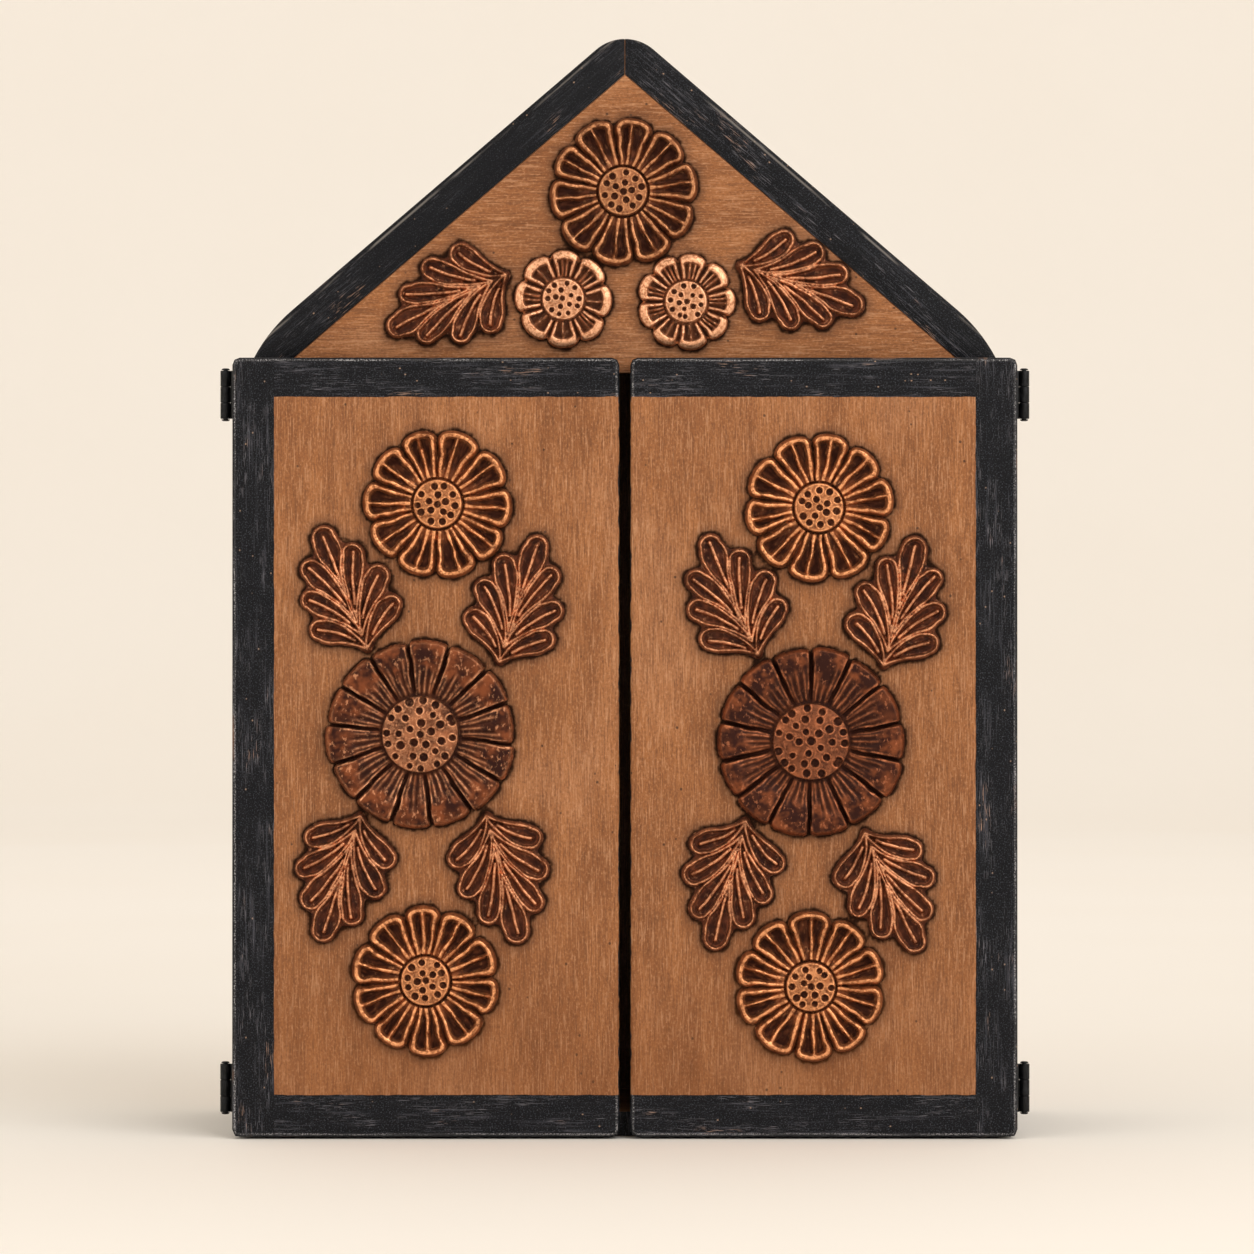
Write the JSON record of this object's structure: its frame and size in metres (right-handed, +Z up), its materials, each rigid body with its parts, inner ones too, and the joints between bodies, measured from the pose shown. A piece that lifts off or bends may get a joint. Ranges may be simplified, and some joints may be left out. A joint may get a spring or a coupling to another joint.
{
  "type": "folding shrine box",
  "caption": "Gabled wooden shrine box: an empty cabinet closed by hinged front doors, with dark painted edges and copper flowers and leaves applied in relief.",
  "frame": {"origin": "on the ground under the middle of the box, midway between its back and the most raised ornament in front", "axes": "+X to the viewer's right, -Y out through the doors, +Z up"},
  "size_m": [0.3404, 0.1402, 0.4622],
  "materials": {
    "stained_wood": "warm brown stain, rubbed, with fine grain and dark borders painted on",
    "black_painted_wood": "brushed charcoal black paint, worn through at the edges",
    "raw_wood": "unpainted, lightly aged",
    "golden_copper": "antiqued copper, bright on the ridges and near black in the hollows",
    "dark_copper": "dark brown patinated copper with rubbed edges",
    "pale_copper": "pale rubbed copper with dark hollows",
    "black_iron": "satin black hinges"
  },
  "bodies": {
    "case_body": {"case_back_board": "raw_wood", "case_left_side": "black_painted_wood", "case_right_side": "black_painted_wood", "case_base_board": "raw_wood", "case_left_roof": "black_painted_wood", "case_right_roof": "black_painted_wood", "pediment_panel": "stained_wood", "pediment_flower": "golden_copper", "pediment_left_small_flower": "pale_copper", "pediment_right_small_flower": "pale_copper", "pediment_left_leaf": "dark_copper", "pediment_right_leaf": "dark_copper", "left_upper_hinge_case_leaf": "black_iron", "left_upper_hinge_pin": "black_iron", "left_lower_hinge_case_leaf": "black_iron", "left_lower_hinge_pin": "black_iron", "right_upper_hinge_case_leaf": "black_iron", "right_upper_hinge_pin": "black_iron", "right_lower_hinge_case_leaf": "black_iron", "right_lower_hinge_pin": "black_iron"},
    "left_door_body": {"left_door": "stained_wood", "left_door_top_flower": "golden_copper", "left_door_large_flower": "dark_copper", "left_door_bottom_flower": "golden_copper", "left_door_upper_outer_leaf": "dark_copper", "left_door_upper_inner_leaf": "dark_copper", "left_door_lower_outer_leaf": "dark_copper", "left_door_lower_inner_leaf": "dark_copper", "left_upper_hinge_door_leaf": "black_iron", "left_lower_hinge_door_leaf": "black_iron"},
    "right_door_body": {"right_door": "stained_wood", "right_door_top_flower": "golden_copper", "right_door_large_flower": "dark_copper", "right_door_bottom_flower": "golden_copper", "right_door_upper_outer_leaf": "dark_copper", "right_door_upper_inner_leaf": "dark_copper", "right_door_lower_outer_leaf": "dark_copper", "right_door_lower_inner_leaf": "dark_copper", "right_upper_hinge_door_leaf": "black_iron", "right_lower_hinge_door_leaf": "black_iron"}
  },
  "joints": [
    {"name": "left_door_hinge", "type": "hinge", "parent": "case_body", "child": "left_door_body", "pos_m": [-0.168, -0.05075, 0.164], "axis": [0, 0, -1], "range_deg": [0, 205]},
    {"name": "right_door_hinge", "type": "hinge", "parent": "case_body", "child": "right_door_body", "pos_m": [0.168, -0.05075, 0.164], "axis": [0, 0, 1], "range_deg": [0, 205]}
  ]
}
